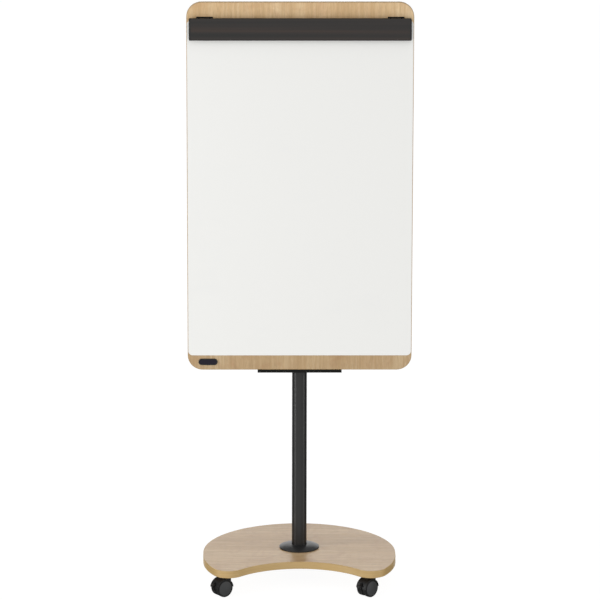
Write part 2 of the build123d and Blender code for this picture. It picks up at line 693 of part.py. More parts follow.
def make_hinge_bracket(side, name):
    """Sheet plate screwed over the panel, with two ears that hold the hinge pin."""
    x = side * HINGE_X
    plate_top = CLAMP_AXIS_HEIGHT + HINGE_PLATE_ABOVE_AXIS
    plate_bottom = CLAMP_AXIS_HEIGHT - HINGE_PLATE_BELOW_AXIS
    with BuildPart() as bracket:
        with BuildSketch(facing_front(PANEL_FRONT)):
            with Locations((x, (plate_top + plate_bottom) / 2)):
                RectangleRounded(HINGE_WIDTH, plate_top - plate_bottom, HINGE_PLATE_CORNER)
        extrude(amount=HINGE_SHEET)
        for ear_x in (x - HINGE_EAR_X, x + HINGE_EAR_X):
            with BuildSketch(Plane.YZ.offset(ear_x - HINGE_EAR_THICKNESS / 2)):
                with Locations((CLAMP_AXIS_Y, CLAMP_AXIS_HEIGHT)):
                    Circle(HINGE_EAR_RADIUS)
                with Locations((-PANEL_FRONT - CLAMP_AXIS_STANDOFF / 2, CLAMP_AXIS_HEIGHT)):
                    Rectangle(CLAMP_AXIS_STANDOFF, 2 * HINGE_EAR_RADIUS)
            extrude(amount=HINGE_EAR_THICKNESS)
        with BuildSketch(Plane.YZ.offset(x - HINGE_WIDTH / 2)):
            with Locations((CLAMP_AXIS_Y, CLAMP_AXIS_HEIGHT)):
                Circle(HINGE_PIN_RADIUS)
        extrude(amount=HINGE_WIDTH, mode=Mode.SUBTRACT)
        with Locations(facing_front(PANEL_FRONT + HINGE_SHEET)):
            with Locations(*[place for place in HINGE_SCREWS if place[0] * side > 0]):
                CounterSinkHole(PANEL_SCREW_RADIUS, PANEL_SCREW_HEAD, depth=2 * HINGE_SHEET)
    save(bracket, name)


make_hinge_bracket(-1, "hinge_bracket_left")
make_hinge_bracket(1, "hinge_bracket_right")

with BuildPart() as panel_screws:
    head_top = PANEL_FRONT + RAIL_WALL
    cone = PANEL_SCREW_HEAD - PANEL_SCREW_RADIUS
    point = -BOARD_FRONT + PANEL_SCREW_LENGTH - PANEL_SCREW_POINT_GAP
    for x, z in PANEL_SCREWS:
        with BuildSketch(Plane.XY.offset(z)):
            with BuildLine():
                Polyline(
                    (x, -head_top),
                    (x + PANEL_SCREW_HEAD, -head_top),
                    (x + PANEL_SCREW_RADIUS, -head_top + cone),
                    (x + PANEL_SCREW_RADIUS, point),
                    (x, point),
                    close=True,
                )
            make_face()
        revolve(axis=Axis((x, 0, z), (0, 1, 0)))
    with BuildSketch(facing_front(head_top)):
        with Locations(*PANEL_SCREWS):
            RegularPolygon(PANEL_SCREW_SOCKET_RADIUS, 6)
    extrude(amount=-PANEL_SCREW_SOCKET_DEPTH, mode=Mode.SUBTRACT)
save(panel_screws, "panel_screws")

with BuildPart() as hinge_pins:
    for side in (-1, 1):
        with BuildSketch(Plane.YZ.offset(side * HINGE_X - HINGE_PIN_LENGTH / 2)):
            with Locations((CLAMP_AXIS_Y, CLAMP_AXIS_HEIGHT)):
                Circle(HINGE_PIN_RADIUS)
        extrude(amount=HINGE_PIN_LENGTH)
save(hinge_pins, "hinge_pins")

with BuildPart() as clamp_springs:
    for side in (-1, 1):
        start = (side * HINGE_X - SPRING_LENGTH / 2, CLAMP_AXIS_Y, CLAMP_AXIS_HEIGHT)
        coil = Helix(
            pitch=SPRING_LENGTH / SPRING_TURNS,
            height=SPRING_LENGTH,
            radius=SPRING_RADIUS,
            center=start,
            direction=(1, 0, 0),
            mode=Mode.PRIVATE,
        ).rotate(Axis(start, (1, 0, 0)), -90)
        with BuildSketch(Plane(origin=coil @ 0, z_dir=coil % 0)):
            Circle(SPRING_WIRE)
        sweep(path=coil, is_frenet=True)
        with BuildSketch(Plane(origin=coil @ 1, z_dir=coil % 1)):
            Circle(SPRING_WIRE)
        extrude(amount=SPRING_HOOK)
        with BuildSketch(Plane(origin=coil @ 0, z_dir=coil % 0)):
            Circle(SPRING_WIRE)
        extrude(amount=-SPRING_LEG)
save(clamp_springs, "clamp_springs")

# ---------------------------------------------------------------- clamp bar

def clamp_section(wall):
    """Section of the bar about its hinge axis: top, front and bottom lip of one wall, open at the back."""
    inner = CLAMP_FRONT + wall
    with BuildSketch() as section:
        with BuildLine():
            top = Line((CLAMP_BACK, CLAMP_TOP), (CLAMP_FRONT, CLAMP_TOP))
            front = ThreePointArc(
                top @ 1,
                (CLAMP_BULGE, (CLAMP_TOP + CLAMP_BOTTOM) / 2),
                (CLAMP_FRONT, CLAMP_BOTTOM),
            )
            bottom = Line(front @ 1, (CLAMP_BACK, CLAMP_BOTTOM))
            lip = Line(bottom @ 1, (CLAMP_BACK, CLAMP_BOTTOM + wall))
            lip_top = Line(lip @ 1, (inner, CLAMP_BOTTOM + wall))
            back = ThreePointArc(
                lip_top @ 1,
                (CLAMP_BULGE + wall, (CLAMP_TOP + CLAMP_BOTTOM) / 2),
                (inner, CLAMP_TOP - wall),
            )
            under_top = Line(back @ 1, (CLAMP_BACK, CLAMP_TOP - wall))
            Line(under_top @ 1, top @ 0)
        make_face()
        fillet(section.vertices().sort_by(Axis.X)[0:2], CLAMP_CORNER)
    return section.sketch


def clamp_plane(x):
    """Plane across the bar at x, its origin on the hinge axis, its own x towards +Y and y towards +Z."""
    return Plane(origin=(x, CLAMP_AXIS_Y, CLAMP_AXIS_HEIGHT), x_dir=(0, 1, 0), z_dir=(1, 0, 0))


BAR_HALF = CLAMP_LENGTH / 2 - CLAMP_CAP
EAR_PLACES = [side * HINGE_X + dx for side in (-1, 1) for dx in (-HINGE_EAR_X, HINGE_EAR_X)]
LUG_STARTS = [side * HINGE_X + dx for side in (-1, 1) for dx in (-LUG_X - LUG_THICKNESS, LUG_X)]

with BuildPart() as clamp_bar:
    with BuildSketch(clamp_plane(-BAR_HALF)):
        add(clamp_section(CLAMP_WALL))
    extrude(amount=2 * BAR_HALF)
    for lug_start in LUG_STARTS:
        with BuildSketch(clamp_plane(lug_start)):
            Circle(HINGE_EAR_RADIUS)
            with Locations((CLAMP_FRONT / 2, 0)):
                Rectangle(-CLAMP_FRONT, 2 * HINGE_EAR_RADIUS)
            with Locations((CLAMP_LUG_WEB_SHIFT, CLAMP_TOP / 2)):
                Rectangle(CLAMP_LUG_WEB, CLAMP_TOP - CLAMP_WALL / 2)
            Circle(HINGE_PIN_RADIUS + RUNNING_CLEARANCE, mode=Mode.SUBTRACT)
        extrude(amount=LUG_THICKNESS)
    for ear_x in EAR_PLACES:
        with BuildSketch(clamp_plane(ear_x - CLAMP_NOTCH_WIDTH / 2)):
            with Locations(((CLAMP_NOTCH_FRONT + CLAMP_BACK) / 2, CLAMP_TOP)):
                Rectangle(CLAMP_BACK - CLAMP_NOTCH_FRONT, 3 * CLAMP_WALL)
        extrude(amount=CLAMP_NOTCH_WIDTH, mode=Mode.SUBTRACT)
save(clamp_bar, "clamp_bar")


def make_end_cap(start, name):
    """Cap that closes one end of the bar, round towards the panel so that it clears it as it turns."""
    turn = sqrt(CLAMP_BACK**2 + CLAMP_TOP**2)
    halfway = Vector(turn, 0).rotate(Axis.Z, CLAMP_CAP_TURN)
    with BuildPart() as cap:
        with BuildSketch(clamp_plane(start)) as outline:
            with BuildLine():
                top = Line((CLAMP_BACK, CLAMP_TOP), (CLAMP_FRONT, CLAMP_TOP))
                front = ThreePointArc(
                    top @ 1,
                    (CLAMP_BULGE, (CLAMP_TOP + CLAMP_BOTTOM) / 2),
                    (CLAMP_FRONT, CLAMP_BOTTOM),
                )
                bottom = Line(front @ 1, (turn, CLAMP_BOTTOM))
                back = Line(bottom @ 1, (turn, 0))
                ThreePointArc(back @ 1, halfway, top @ 0)
            make_face()
            fillet(outline.vertices().sort_by(Axis.X)[0:2], CLAMP_CORNER)
        extrude(amount=CLAMP_CAP)
        with BuildSketch(facing_front(-CLAMP_AXIS_Y)):
            with Locations((0, CLAMP_AXIS_HEIGHT + (CLAMP_TOP + CLAMP_BOTTOM) / 2)):
                RectangleRounded(
                    CLAMP_LENGTH, CLAMP_TOP - CLAMP_BOTTOM + 2 * CLAMP_CAP_CORNER_PAST, CLAMP_CAP_CORNER
                )
        extrude(amount=CLAMP_LENGTH, both=True, mode=Mode.INTERSECT)
    save(cap, name)


make_end_cap(-CLAMP_LENGTH / 2, "clamp_end_cap_left")
make_end_cap(BAR_HALF, "clamp_end_cap_right")

with BuildPart() as clamp_grip_strip:
    lip_top = CLAMP_BOTTOM + CLAMP_WALL
    strip_top = lip_top + STRIP_THICKNESS
    strip_tip = CLAMP_AXIS_STANDOFF - STRIP_GAP
    with BuildSketch(clamp_plane(-BAR_HALF)):
        with BuildLine():
            Polyline(
                (STRIP_ROOT, lip_top),
                (CLAMP_BACK, lip_top),
                (CLAMP_BACK, CLAMP_BOTTOM),
                (strip_tip - STRIP_CHAMFER, CLAMP_BOTTOM),
                (strip_tip, CLAMP_BOTTOM + STRIP_CHAMFER),
                (strip_tip, strip_top - STRIP_CHAMFER),
                (strip_tip - STRIP_LIP, strip_top),
                (STRIP_ROOT, strip_top),
                close=True,
            )
        make_face()
    extrude(amount=2 * BAR_HALF)
save(clamp_grip_strip, "clamp_grip_strip")

# ---------------------------------------------------------------- casters

with BuildPart() as caster_inserts:
    with BuildSketch(Plane.XY.offset(BASE_UNDERSIDE)):
        with caster_locations():
            Circle(COLLAR_RADIUS)
    extrude(amount=INSERT_FLANGE)
    with BuildSketch(Plane.XY.offset(BASE_UNDERSIDE)):
        with caster_locations():
            Circle(INSERT_RADIUS)
    extrude(amount=INSERT_LENGTH)
    with BuildSketch(Plane.XY.offset(BASE_UNDERSIDE)):
        with caster_locations():
            Circle(THREAD_RADIUS)
    extrude(amount=INSERT_LENGTH, mode=Mode.SUBTRACT)
save(caster_inserts, "caster_inserts")

with BuildPart() as caster_stems:
    with BuildSketch(Plane.XY.offset(STEM_BOTTOM)):
        with caster_locations():
            Circle(STEM_RADIUS)
    extrude(amount=BASE_UNDERSIDE - STEM_BOTTOM)
    with BuildSketch(Plane.XY.offset(BASE_UNDERSIDE - COLLAR_HEIGHT)):
        with caster_locations():
            Circle(COLLAR_RADIUS)
    extrude(amount=COLLAR_HEIGHT)
    with BuildSketch(Plane.XY.offset(BASE_UNDERSIDE)):
        with caster_locations():
            Circle(THREAD_RADIUS)
    extrude(amount=THREAD_LENGTH)
save(caster_stems, "caster_stems")


def rolling_plane(stem_x, stem_y, trail):
    """Upright plane through the stem's axis: x is the trailing direction, y is up, the axle is normal."""
    trail_dir = (cos(radians(trail)), sin(radians(trail)), 0)
    axle_dir = (sin(radians(trail)), -cos(radians(trail)), 0)
    return Plane(origin=(stem_x, stem_y, 0), x_dir=trail_dir, z_dir=axle_dir)


def make_hood(plane, braked, name):
    """Plastic body: a spine between the wheels, a fender over them and a neck for the stem."""
    neck_bottom = WHEEL_RADIUS + NECK_ABOVE_AXLE
    neck_top = BASE_UNDERSIDE - COLLAR_HEIGHT - NECK_GAP
    fender_inner = HOOD_RADIUS - HOOD_WALL
    with BuildPart() as hood:
        with BuildSketch(plane):
            with Locations((CASTER_TRAIL, WHEEL_RADIUS)):
                Circle(HOOD_RADIUS)
            with Locations((CASTER_TRAIL, WHEEL_RADIUS - SPINE_BELOW_AXLE - HOOD_RADIUS / 2)):
                Rectangle(3 * HOOD_RADIUS, HOOD_RADIUS, mode=Mode.SUBTRACT)
        extrude(amount=SPINE_HALF_WIDTH, both=True)
        with BuildSketch(plane):
            with Locations((CASTER_TRAIL, WHEEL_RADIUS)):
                Circle(HOOD_RADIUS)
                Circle(fender_inner, mode=Mode.SUBTRACT)
            with Locations((CASTER_TRAIL, WHEEL_RADIUS + HOOD_ABOVE_AXLE - HOOD_RADIUS)):
                Rectangle(3 * HOOD_RADIUS, 2 * HOOD_RADIUS, mode=Mode.SUBTRACT)
        extrude(amount=HOOD_HALF_WIDTH, both=True)
        with BuildSketch(Plane(origin=(plane.origin.X, plane.origin.Y, neck_bottom))):
            Circle(NECK_RADIUS)
        extrude(amount=neck_top - neck_bottom)
        for wheel_side in (-1, 1):
            with BuildSketch(plane.offset(wheel_side * SPINE_HALF_WIDTH)):
                with Locations((CASTER_TRAIL, WHEEL_RADIUS)):
                    Circle(fender_inner)
            extrude(amount=wheel_side * HOOD_RADIUS, mode=Mode.SUBTRACT)
        with BuildSketch(plane):
            with Locations((CASTER_TRAIL, WHEEL_RADIUS)):
                Circle(AXLE_RADIUS)
        extrude(amount=SPINE_HALF_WIDTH, both=True, mode=Mode.SUBTRACT)
        with BuildSketch(Plane(origin=(plane.origin.X, plane.origin.Y, STEM_BOTTOM - NECK_GAP))):
            Circle(STEM_RADIUS + RUNNING_CLEARANCE)
        extrude(amount=HOOD_RADIUS, mode=Mode.SUBTRACT)
        if braked:
            pivot = (CASTER_TRAIL + BRAKE_PIVOT[0], WHEEL_RADIUS + BRAKE_PIVOT[1])
            with BuildSketch(plane):
                with Locations(
                    (CASTER_TRAIL + BRAKE_SLOT_START + HOOD_RADIUS / 2, WHEEL_RADIUS + BRAKE_SLOT_RISE)
                ):
                    Rectangle(HOOD_RADIUS, BRAKE_SLOT_HEIGHT)
            extrude(amount=BRAKE_SLOT_HALF_WIDTH, both=True, mode=Mode.SUBTRACT)
            with BuildSketch(plane):
                with Locations((CASTER_TRAIL, WHEEL_RADIUS)):
                    Circle(HOOD_RADIUS + HOOD_WALL)
                    Circle(fender_inner - RUNNING_CLEARANCE, mode=Mode.SUBTRACT)
                with Locations((CASTER_TRAIL + HOOD_RADIUS, WHEEL_RADIUS + HOOD_ABOVE_AXLE)):
                    Rectangle(HOOD_RADIUS, PEDAL_SLOT_HEIGHT, mode=Mode.INTERSECT)
            extrude(amount=PEDAL_HALF_WIDTH + PEDAL_SLOT_GAP, both=True, mode=Mode.SUBTRACT)
            with BuildSketch(plane):
                with Locations(pivot):
                    Circle(BRAKE_PIVOT_RADIUS + RUNNING_CLEARANCE)
            extrude(amount=SPINE_HALF_WIDTH, both=True, mode=Mode.SUBTRACT)
    save(hood, name)


def make_brake(plane, name):
    """Lever on two stub pivots in the spine's slot, with a pedal that stands out behind the fender."""
    pivot = (CASTER_TRAIL + BRAKE_PIVOT[0], WHEEL_RADIUS + BRAKE_PIVOT[1])
    arm = BRAKE_REACH - BRAKE_PIVOT[0] - PEDAL_CORNER
    pedal = BRAKE_REACH - HOOD_RADIUS - PEDAL_GAP
    with BuildPart() as brake:
        with BuildSketch(plane):
            with Locations((CASTER_TRAIL + BRAKE_REACH - pedal / 2, pivot[1])):
                Rectangle(pedal, BRAKE_THICKNESS)
        extrude(amount=PEDAL_HALF_WIDTH, both=True)
        pedal_corners = brake.edges().filter_by(lambda e: abs((e % 0).Z) > 0.99)
        fillet(pedal_corners.sort_by_distance(plane.origin)[-2:], PEDAL_CORNER)
        with BuildSketch(plane):
            with Locations(pivot):
                Circle(BRAKE_BOSS_RADIUS)
            with Locations((pivot[0] + arm / 2, pivot[1])):
                Rectangle(arm, BRAKE_THICKNESS)
        extrude(amount=BRAKE_SLOT_HALF_WIDTH - BRAKE_SIDE_GAP, both=True)
        with BuildSketch(plane):
            with Locations(pivot):
                Circle(BRAKE_PIVOT_RADIUS)
        extrude(amount=SPINE_HALF_WIDTH, both=True)
    save(brake, name)


def make_axle(plane, name):
    """Pin pressed through the spine that both wheels turn on."""
    with BuildPart() as axle:
        with BuildSketch(plane):
            with Locations((CASTER_TRAIL, WHEEL_RADIUS)):
                Circle(AXLE_RADIUS)
        extrude(amount=AXLE_HALF_LENGTH, both=True)
        chamfer(axle.edges().filter_by(GeomType.CIRCLE), AXLE_CHAMFER)
    save(axle, name)


def wheel_section_plane(plane, side):
    """Plane through the axle: x runs outwards along the axle on the given side, y is up."""
    centre = plane.from_local_coords((CASTER_TRAIL, WHEEL_RADIUS, 0))
    return Plane(origin=centre, x_dir=plane.z_dir * side, z_dir=plane.x_dir * -side)


def make_wheel(plane, side, name):
    """Wheel core: a hub on the axle, a web, a rim under the tyre and a closed domed outer face."""
    section = wheel_section_plane(plane, side)
    bore = AXLE_RADIUS + RUNNING_CLEARANCE
    face = WHEEL_CORE_RADIUS - WHEEL_FACE_BEVEL
    web = WHEEL_INNER + WHEEL_WEB_INSET
    rim = WHEEL_INNER + WHEEL_RIM_INSET
    rim_inside = WHEEL_CORE_RADIUS - WHEEL_RIM_DEPTH
    axle_end = AXLE_HALF_LENGTH + AXLE_END_GAP
    rise = WHEEL_DOME - WHEEL_OUTER
    dome_radius = (face**2 + rise**2) / (2 * rise)
    halfway = WHEEL_DOME - dome_radius + sqrt(dome_radius**2 - (face / 2) ** 2)
    with BuildPart() as wheel:
        with BuildSketch(section):
            with BuildLine():
                inside = Polyline(
                    (axle_end, 0),
                    (axle_end, bore),
                    (WHEEL_INNER, bore),
                    (WHEEL_INNER, WHEEL_HUB_RADIUS),
                    (web, WHEEL_HUB_RADIUS),
                    (web, rim_inside),
                    (rim, rim_inside),
                    (rim, WHEEL_CORE_RADIUS),
                    (WHEEL_OUTER, WHEEL_CORE_RADIUS),
                    (WHEEL_OUTER, face),
                )
                dome = ThreePointArc(inside @ 1, (halfway, face / 2), (WHEEL_DOME, 0))
                Line(dome @ 1, inside @ 0)
            make_face()
        revolve(axis=Axis(section.origin, section.x_dir))
    save(wheel, name)


def make_tyre(plane, side, name):
    """Soft tread bonded round the wheel core, with rounded shoulders."""
    section = wheel_section_plane(plane, side)
    width = WHEEL_OUTER - WHEEL_INNER - WHEEL_RIM_INSET
    with BuildPart() as tyre:
        with BuildSketch(section) as profile:
            with Locations((WHEEL_OUTER - width / 2, WHEEL_RADIUS - TYRE_THICKNESS / 2)):
                Rectangle(width, TYRE_THICKNESS)
            fillet(profile.vertices().group_by(Axis.Y)[-1], TYRE_SHOULDER)
        revolve(axis=Axis(section.origin, section.x_dir))
    save(tyre, name)


for corner, (stem_x, stem_y, trail) in CASTERS.items():
    rolling = rolling_plane(stem_x, stem_y, trail)
    make_hood(rolling, corner in BRAKED_CASTERS, f"caster_{corner}_hood")
    make_axle(rolling, f"caster_{corner}_axle")
    for letter, side in (("a", 1), ("b", -1)):
        make_wheel(rolling, side, f"caster_{corner}_wheel_{letter}")
        make_tyre(rolling, side, f"caster_{corner}_tyre_{letter}")
    if corner in BRAKED_CASTERS:
        make_brake(rolling, f"caster_{corner}_brake")
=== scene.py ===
from math import cos, pi, radians, sin

import bmesh
import bpy
from mathutils import Matrix, Vector


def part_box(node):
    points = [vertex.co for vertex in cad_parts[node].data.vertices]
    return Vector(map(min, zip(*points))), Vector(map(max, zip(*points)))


# Looks of the flip chart easel: materials on the CAD nodes, a pale floor, soft light and the camera.
# Metres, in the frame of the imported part: +Z up, the writing side faces -Y.

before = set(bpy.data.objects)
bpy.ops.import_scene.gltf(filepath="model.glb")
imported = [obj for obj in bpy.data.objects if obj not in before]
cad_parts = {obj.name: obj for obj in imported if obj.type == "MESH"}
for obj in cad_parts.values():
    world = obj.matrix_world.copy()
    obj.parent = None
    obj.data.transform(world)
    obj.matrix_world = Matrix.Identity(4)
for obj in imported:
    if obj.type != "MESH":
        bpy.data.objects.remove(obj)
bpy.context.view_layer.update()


# ---------------------------------------------------------------- node helpers

class Look:
    """One material's node tree, with short calls for the nodes that every finish here uses."""

    def __init__(self, name):
        self.material = bpy.data.materials.new(name)
        self.material.use_nodes = True
        self.tree = self.material.node_tree
        self.shader = self.tree.nodes["Principled BSDF"]
        self.object_coords = self.node("ShaderNodeTexCoord").outputs["Object"]

    def node(self, kind, inputs=None, **settings):
        """Adds a node; each input takes a value or another node's output."""
        node = self.tree.nodes.new(kind)
        for key, value in settings.items():
            setattr(node, key, value)
        for key, value in (inputs or {}).items():
            self.put(node.inputs[key], value)
        return node

    def put(self, socket, value):
        if isinstance(value, bpy.types.NodeSocket):
            self.tree.links.new(value, socket)
        else:
            socket.default_value = value

    def set(self, **values):
        """Sets the shader's own inputs, written with underscores for spaces."""
        for key, value in values.items():
            self.put(self.shader.inputs[key.replace("_", " ")], value)

    def math(self, operation, a, b=0.0, clamp=False):
        node = self.node("ShaderNodeMath", operation=operation, use_clamp=clamp)
        self.put(node.inputs[0], a)
        self.put(node.inputs[1], b)
        return node.outputs[0]

    def stretched(self, scale, coords=None):
        """The coordinates times a scale for each axis, in features per metre."""
        node = self.node("ShaderNodeVectorMath", operation="MULTIPLY")
        self.put(node.inputs[0], coords or self.object_coords)
        node.inputs[1].default_value = scale
        return node.outputs[0]

    def noise(self, scale, coords=None, detail=3.0, roughness=0.55, distortion=0.0):
        inputs = {
            "Vector": coords or self.object_coords,
            "Scale": scale,
            "Detail": detail,
            "Roughness": roughness,
            "Distortion": distortion,
        }
        return self.node("ShaderNodeTexNoise", inputs).outputs["Fac"]

    def ramp(self, value, stops):
        """A colour or grey for each position of the value; stops are (position, grey or colour)."""
        node = self.node("ShaderNodeValToRGB", {"Fac": value})
        elements = node.color_ramp.elements
        while len(elements) < len(stops):
            elements.new(0.5)
        for element, (position, tone) in zip(elements, stops):
            element.position = position
            element.color = (tone, tone, tone, 1.0) if isinstance(tone, float) else (*tone, 1.0)
        return node.outputs["Color"]

    def between(self, value, low, high):
        """Maps a value of 0 to 1 onto low to high."""
        inputs = {"Value": value, "To Min": low, "To Max": high}
        return self.node("ShaderNodeMapRange", inputs).outputs["Result"]

    def mix(self, amount, a, b, blend="MIX"):
        node = self.node("ShaderNodeMix", data_type="RGBA", blend_type=blend, clamp_result=True)
        self.put(node.inputs["Factor"], amount)
        self.put(node.inputs[6], a if isinstance(a, bpy.types.NodeSocket) else (*a, 1.0))
        self.put(node.inputs[7], b if isinstance(b, bpy.types.NodeSocket) else (*b, 1.0))
        return node.outputs[2]

    def edges(self, radius):
        """The normal rounded at edges, and a mask that is bright along them."""
        rounded = self.node("ShaderNodeBevel", {"Radius": radius}, samples=4).outputs["Normal"]
        flat = self.node("ShaderNodeNewGeometry").outputs["True Normal"]
        dot = self.node("ShaderNodeVectorMath", operation="DOT_PRODUCT")
        self.put(dot.inputs[0], rounded)
        self.put(dot.inputs[1], flat)
        mask = self.math("SUBTRACT", 1.0, dot.outputs["Value"], clamp=True)
        return rounded, self.math("MULTIPLY", mask, 6.0, clamp=True)

    def bump(self, height, strength, distance, normal=None):
        inputs = {"Height": height, "Strength": strength, "Distance": distance}
        if normal is not None:
            inputs["Normal"] = normal
        self.set(Normal=self.node("ShaderNodeBump", inputs).outputs["Normal"])


def tone(red, green, blue):
    """Linear colour of an sRGB one written 0 to 255."""
    return tuple(
        c / 255 / 12.92 if c <= 10 else ((c / 255 + 0.055) / 1.055) ** 2.4 for c in (red, green, blue)
    )


def dress(look, *names):
    """Gives a finish to CAD nodes, in all their slots."""
    for name in names:
        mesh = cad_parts[name].data
        for index in range(len(mesh.materials)):
            mesh.materials[index] = look.material


# ---------------------------------------------------------------- wood look

def along_grain(look, order):
    """Coordinates as (across the grain, depth, along the grain) from the axes named in order."""
    split = look.node("ShaderNodeSeparateXYZ", {"Vector": look.object_coords})
    parts = {key: split.outputs[axis] for key, axis in zip("XYZ", order)}
    return look.node("ShaderNodeCombineXYZ", parts).outputs["Vector"]


def painted_top_light(look, colour, box, low, high):
    """Painted light from above: the colour times a gain that goes from low at the foot of a box to high at
    its top.
    """
    split = look.node("ShaderNodeSeparateXYZ", {"Vector": look.object_coords})
    inputs = {
        "Value": split.outputs["Z"],
        "From Min": box[0][2],
        "From Max": box[1][2],
        "To Min": low,
        "To Max": high,
    }
    gain = look.node("ShaderNodeMapRange", inputs).outputs["Result"]
    return look.mix(1.0, colour, gain, "MULTIPLY")


def oak(name, order, tones, roughness, specular, painted_top_light_span=None):
    """Printed oak laminate: drawn-out figure, broad tones, warmer blotches, fine fibres and dark pores.

    The tones are light, middle, dark and knot; order names the axes across, through and along the grain.
    """
    look = Look(name)
    light, middle, dark, knot = tones
    grain = along_grain(look, order)
    broad = look.noise(1.0, look.stretched((9.0, 3.0, 0.9), grain), detail=4.0, roughness=0.6)
    streaks = look.noise(1.0, look.stretched((115.0, 30.0, 5.0), grain), detail=4.0, roughness=0.65)
    blotches = look.noise(13.0, detail=4.0, roughness=0.7, distortion=0.8)
    figure = look.node(
        "ShaderNodeTexWave",
        {
            "Vector": look.stretched((1.0, 1.0, 0.11), grain),
            "Scale": 10.0,
            "Distortion": 16.0,
            "Detail": 4.0,
            "Detail Scale": 1.7,
            "Detail Roughness": 0.7,
        },
        wave_type="BANDS",
        bands_direction="X",
        wave_profile="SAW",
    ).outputs["Fac"]
    fibres = look.noise(1.0, look.stretched((520.0, 90.0, 9.0), grain), detail=3.0, roughness=0.7)
    pores = look.noise(1.0, look.stretched((900.0, 300.0, 42.0), grain), detail=1.0)
    pore_mask = look.ramp(pores, [(0.0, 1.0), (0.33, 0.7), (0.42, 0.0)])
    base = look.ramp(broad, [(0.3, dark), (0.5, middle), (0.7, light)])
    figured = look.mix(look.between(figure, 0.0, 0.28), base, dark)
    blotched = look.mix(look.ramp(blotches, [(0.46, 0.0), (0.68, 0.42)]), figured, knot)
    streaked = look.mix(look.ramp(streaks, [(0.36, 0.65), (0.56, 0.0)]), blotched, dark)
    fibred = look.mix(look.between(fibres, 0.0, 0.9), streaked, light, "SOFT_LIGHT")
    flecked = look.mix(look.math("MULTIPLY", pore_mask, 0.4), fibred, tuple(0.55 * c for c in dark))
    rounded, edge = look.edges(0.0006)
    worn = look.mix(look.math("MULTIPLY", edge, 0.25), flecked, light)
    # painted light from above: the colour is darker towards the foot and lighter towards the top
    colour = painted_top_light(look, worn, *painted_top_light_span) if painted_top_light_span else worn
    look.set(Base_Color=colour, Specular_IOR_Level=specular)
    look.set(Roughness=look.between(look.noise(60.0), roughness - 0.06, roughness + 0.08))
    relief = look.math("SUBTRACT", look.math("MULTIPLY", fibres, 0.4), look.math("MULTIPLY", pore_mask, 0.6))
    look.bump(relief, 0.25, 0.0002, rounded)
    return look


def edging(name, light, dark, lengthwise):
    """Plastic edging printed to match: faint streaks that run along the edge, and softened corners."""
    look = Look(name)
    streaks = look.noise(1.0, look.stretched(lengthwise), detail=4.0, roughness=0.65)
    cloud = look.noise(7.0, detail=2.0)
    colour = look.mix(look.between(cloud, 0.0, 0.5), look.ramp(streaks, [(0.3, dark), (0.7, light)]), dark)
    rounded, edge = look.edges(0.0008)
    worn = look.mix(look.math("MULTIPLY", edge, 0.35), colour, tuple(min(1.0, 1.25 * c) for c in light))
    look.set(Base_Color=worn, Roughness=look.between(look.noise(90.0), 0.36, 0.5), Specular_IOR_Level=0.45)
    look.bump(streaks, 0.12, 0.0002, rounded)
    return look


board_laminate = oak(
    "oak_laminate_board",
    order="XYZ",
    tones=(tone(222, 200, 168), tone(208, 182, 147), tone(184, 155, 118), tone(176, 136, 104)),
    roughness=0.46,
    specular=0.42,
    # painted light from above: the board darkens towards its foot and lightens towards its top
    painted_top_light_span=(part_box("back_board"), 0.83, 1.16),
)
base_laminate = oak(
    "oak_laminate_base",
    order="YZX",
    tones=(tone(215, 191, 159), tone(203, 176, 141), tone(178, 149, 113), tone(168, 131, 102)),
    roughness=0.33,
    specular=0.5,
)
base_edging = edging("oak_edging_base", tone(208, 178, 124), tone(188, 155, 100), (8.0, 8.0, 420.0))
board_edging = edging("oak_edging_board", tone(196, 166, 122), tone(176, 144, 98), (420.0, 420.0, 8.0))
dress(board_laminate, "back_board")
dress(base_laminate, "base_board")
dress(base_edging, "base_edge_band")
dress(board_edging, "board_edge_band")


# ---------------------------------------------------------------- coated and bare metal

def powder_coat(name, colour, highlight, roughness, grain, specular):
    """Powder coat: a fine orange peel, slight clouding, and edges rubbed a little lighter."""
    look = Look(name)
    peel = look.noise(grain, detail=2.0, roughness=0.5)
    cloud = look.noise(11.0, detail=3.0)
    rounded, edge = look.edges(0.0006)
    scuffs = look.ramp(look.noise(75.0, detail=5.0, roughness=0.7), [(0.52, 0.0), (0.68, 1.0)])
    body = look.mix(look.between(cloud, 0.0, 0.6), colour, tuple(1.35 * c for c in colour))
    rub = look.math("MULTIPLY", edge, look.between(scuffs, 0.25, 0.8))
    look.set(Base_Color=look.mix(rub, body, highlight), Specular_IOR_Level=specular)
    look.set(Roughness=look.between(cloud, roughness - 0.05, roughness + 0.09))
    look.bump(peel, 0.3, 0.00012, rounded)
    return look


def clamp_lacquer():
    """Lacquered extrusion: soft bands of painted sheen drawn out along its length, lighter and warmer or
    darker and cooler by turns, and painted shade on its edges.
    """
    look = Look("anthracite_aluminium")
    # painted sheen: lighter and darker bands across the bar's height stand in for reflections on its curved
    # face
    painted_sheen_bands = look.noise(1.0, look.stretched((0.5, 30.0, 42.0)), detail=2.0, roughness=0.4)
    lines = look.noise(1.0, look.stretched((3.0, 700.0, 700.0)), detail=2.0)
    peel = look.noise(3200.0, detail=2.0, roughness=0.5)
    rounded, edge = look.edges(0.0008)
    body = look.ramp(painted_sheen_bands, [(0.36, tone(42, 42, 41)), (0.5, tone(51, 47, 45)), (0.64, tone(63, 53, 48))])
    lined = look.mix(look.between(lines, 0.0, 0.25), body, tone(40, 38, 36))
    # painted shade: the bar's edges are darkened
    look.set(Base_Color=look.mix(look.math("MULTIPLY", edge, 0.5), lined, tone(30, 29, 28)))
    look.set(Roughness=look.between(painted_sheen_bands, 0.36, 0.46), Specular_IOR_Level=0.3)
    look.bump(peel, 0.25, 0.0001, rounded)
    return look


